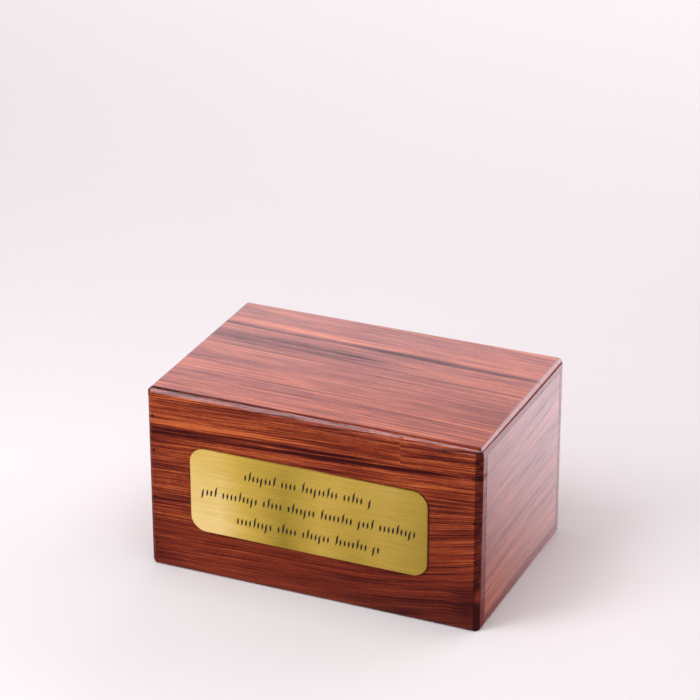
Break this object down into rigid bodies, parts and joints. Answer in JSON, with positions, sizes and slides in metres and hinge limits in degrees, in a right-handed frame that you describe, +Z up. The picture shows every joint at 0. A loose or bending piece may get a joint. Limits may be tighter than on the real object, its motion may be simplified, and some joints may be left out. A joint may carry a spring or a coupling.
{
  "type": "cremation urn box",
  "caption": "Rectangular rosewood urn box with softly chamfered edges, empty inside, and a brushed brass plate engraved with rows of strokes on its front.",
  "frame": {"origin": "middle of the whole part's footprint, plate included, on the surface it stands on", "axes": "+X to the right along the long front, -Y out of the front with the plate, +Z up"},
  "size_m": [0.24, 0.1572, 0.133],
  "materials": {
    "rosewood": "glossy clear lacquer",
    "brushed_brass": "brushed, black-filled engraving"
  },
  "bodies": {
    "root": {"front_board": "rosewood", "back_board": "rosewood", "left_side_board": "rosewood", "right_side_board": "rosewood", "top_board": "rosewood", "bottom_board": "rosewood", "name_plate": "brushed_brass"}
  },
  "joints": []
}
